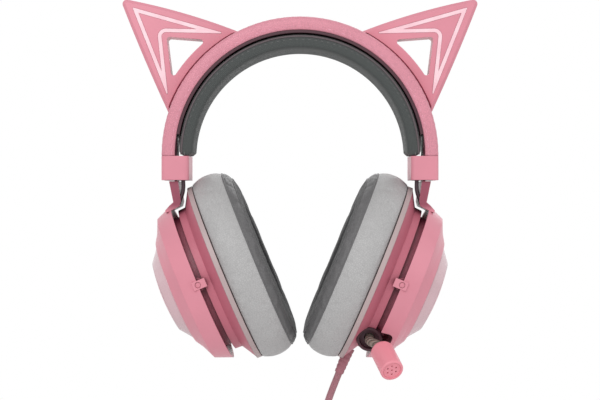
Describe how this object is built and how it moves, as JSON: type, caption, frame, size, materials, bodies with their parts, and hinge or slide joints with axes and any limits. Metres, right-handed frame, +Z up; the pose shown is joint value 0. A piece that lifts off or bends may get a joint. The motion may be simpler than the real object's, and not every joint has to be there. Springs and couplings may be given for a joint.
{
  "type": "gaming headset",
  "caption": "Over-ear gaming headset with a padded arched headband, cat ears, sliding tilting cups, a pull-out microphone and a USB cord.",
  "frame": {"origin": "head seat: the underside of the headband pad at the crown, midway front to back", "axes": "+Z up, +X towards the wearer's left, -Y forward"},
  "size_m": [0.196, 0.1011, 0.4083],
  "materials": {
    "leatherette_pink": "soft pink leatherette with a fine grain",
    "shell_pink": "satin moulded pink plastic",
    "housing_pink": "satin moulded plastic, a shade darker",
    "light_guide": "milky translucent light guide",
    "disc": "perforated satin plastic",
    "pad_fabric": "dark grey woven fabric",
    "cushion_leatherette": "grey leatherette with a woven inner face",
    "cloth": "black speaker cloth",
    "dark_plastic": "matte dark plastic",
    "flange_grey": "satin warm grey plastic",
    "steel": "brushed spring steel",
    "fastener": "bright plated steel",
    "magnet": "nickel-plated magnet cup",
    "diaphragm": "thin clear-amber film",
    "board": "green circuit board",
    "cord_sleeve": "dusty pink cord jacket",
    "tie": "hook-and-loop band",
    "plug_plastic": "moulded plug body",
    "contact": "plated contact shell"
  },
  "bodies": {
    "headband": {"headband_cover": "leatherette_pink", "headband_spring": "steel", "headband_tray": "dark_plastic", "headband_pad": "pad_fabric", "tray_screws": "fastener", "ear_screws": "fastener", "ear_led_strips": "board", "slider_guides": "dark_plastic", "ear_front_shell_left": "shell_pink", "ear_front_shell_right": "shell_pink", "ear_back_shell_left": "shell_pink", "ear_back_shell_right": "shell_pink", "ear_light_guide_left": "light_guide", "ear_light_guide_right": "light_guide", "end_sleeve_left": "shell_pink", "end_sleeve_right": "shell_pink"},
    "arm_left": {"slider_blade_left": "steel", "link_cable_left": "dark_plastic", "outer_shell_left": "shell_pink", "light_ring_left": "light_guide", "side_disc_left": "disc", "led_board_left": "board", "disc_screws_left": "fastener"},
    "cup_left": {"rear_housing_left": "housing_pink", "pivot_pins_left": "fastener", "baffle_left": "flange_grey", "cup_screws_left": "fastener", "driver_frame_left": "dark_plastic", "driver_magnet_left": "magnet", "driver_diaphragm_left": "diaphragm", "speaker_cloth_left": "cloth", "ear_cushion_left": "cushion_leatherette", "main_board": "board", "mic_bezel": "dark_plastic", "strain_relief": "cord_sleeve", "cord": "cord_sleeve", "cord_hank": "cord_sleeve", "cord_tie": "tie", "usb_overmould": "plug_plastic", "usb_shell": "contact"},
    "arm_right": {"slider_blade_right": "steel", "link_cable_right": "dark_plastic", "outer_shell_right": "shell_pink", "light_ring_right": "light_guide", "side_disc_right": "disc", "led_board_right": "board", "disc_screws_right": "fastener"},
    "cup_right": {"rear_housing_right": "housing_pink", "pivot_pins_right": "fastener", "baffle_right": "flange_grey", "cup_screws_right": "fastener", "driver_frame_right": "dark_plastic", "driver_magnet_right": "magnet", "driver_diaphragm_right": "diaphragm", "speaker_cloth_right": "cloth", "ear_cushion_right": "cushion_leatherette"},
    "mic": {"mic_boom": "dark_plastic", "mic_capsule": "shell_pink"},
    "mute_button": {"mute_button": "dark_plastic"},
    "volume_wheel": {"volume_wheel": "dark_plastic"}
  },
  "joints": [
    {"name": "slider_left", "type": "slide", "parent": "headband", "child": "arm_left", "axis": [0, 0, -1], "range_m": [0, 0.02], "deforming": ["link_cable_left"]},
    {"name": "tilt_left", "type": "hinge", "parent": "arm_left", "child": "cup_left", "pos_m": [0.0542, 0, -0.1274], "axis": [0, -1, 0], "range_deg": [0, 7]},
    {"name": "slider_right", "type": "slide", "parent": "headband", "child": "arm_right", "axis": [0, 0, -1], "range_m": [0, 0.02], "deforming": ["link_cable_right"]},
    {"name": "tilt_right", "type": "hinge", "parent": "arm_right", "child": "cup_right", "pos_m": [-0.0542, 0, -0.1274], "axis": [0, 1, 0], "range_deg": [0, 7]},
    {"name": "mic_pull", "type": "slide", "parent": "cup_left", "child": "mic", "axis": [-0.1232, -0.9472, -0.296], "range_m": [0, 0.026]},
    {"name": "mute_press", "type": "slide", "parent": "cup_left", "child": "mute_button", "axis": [0, -1, 0], "range_m": [0, 0.0008], "stiffness_N_per_m": 900, "springref_m": -0.0006},
    {"name": "volume_turn", "type": "hinge", "parent": "cup_left", "child": "volume_wheel", "pos_m": [0.0442, 0.03054, -0.1384], "axis": [0.9232, 0, -0.3843], "range_deg": [-150, 150]}
  ]
}
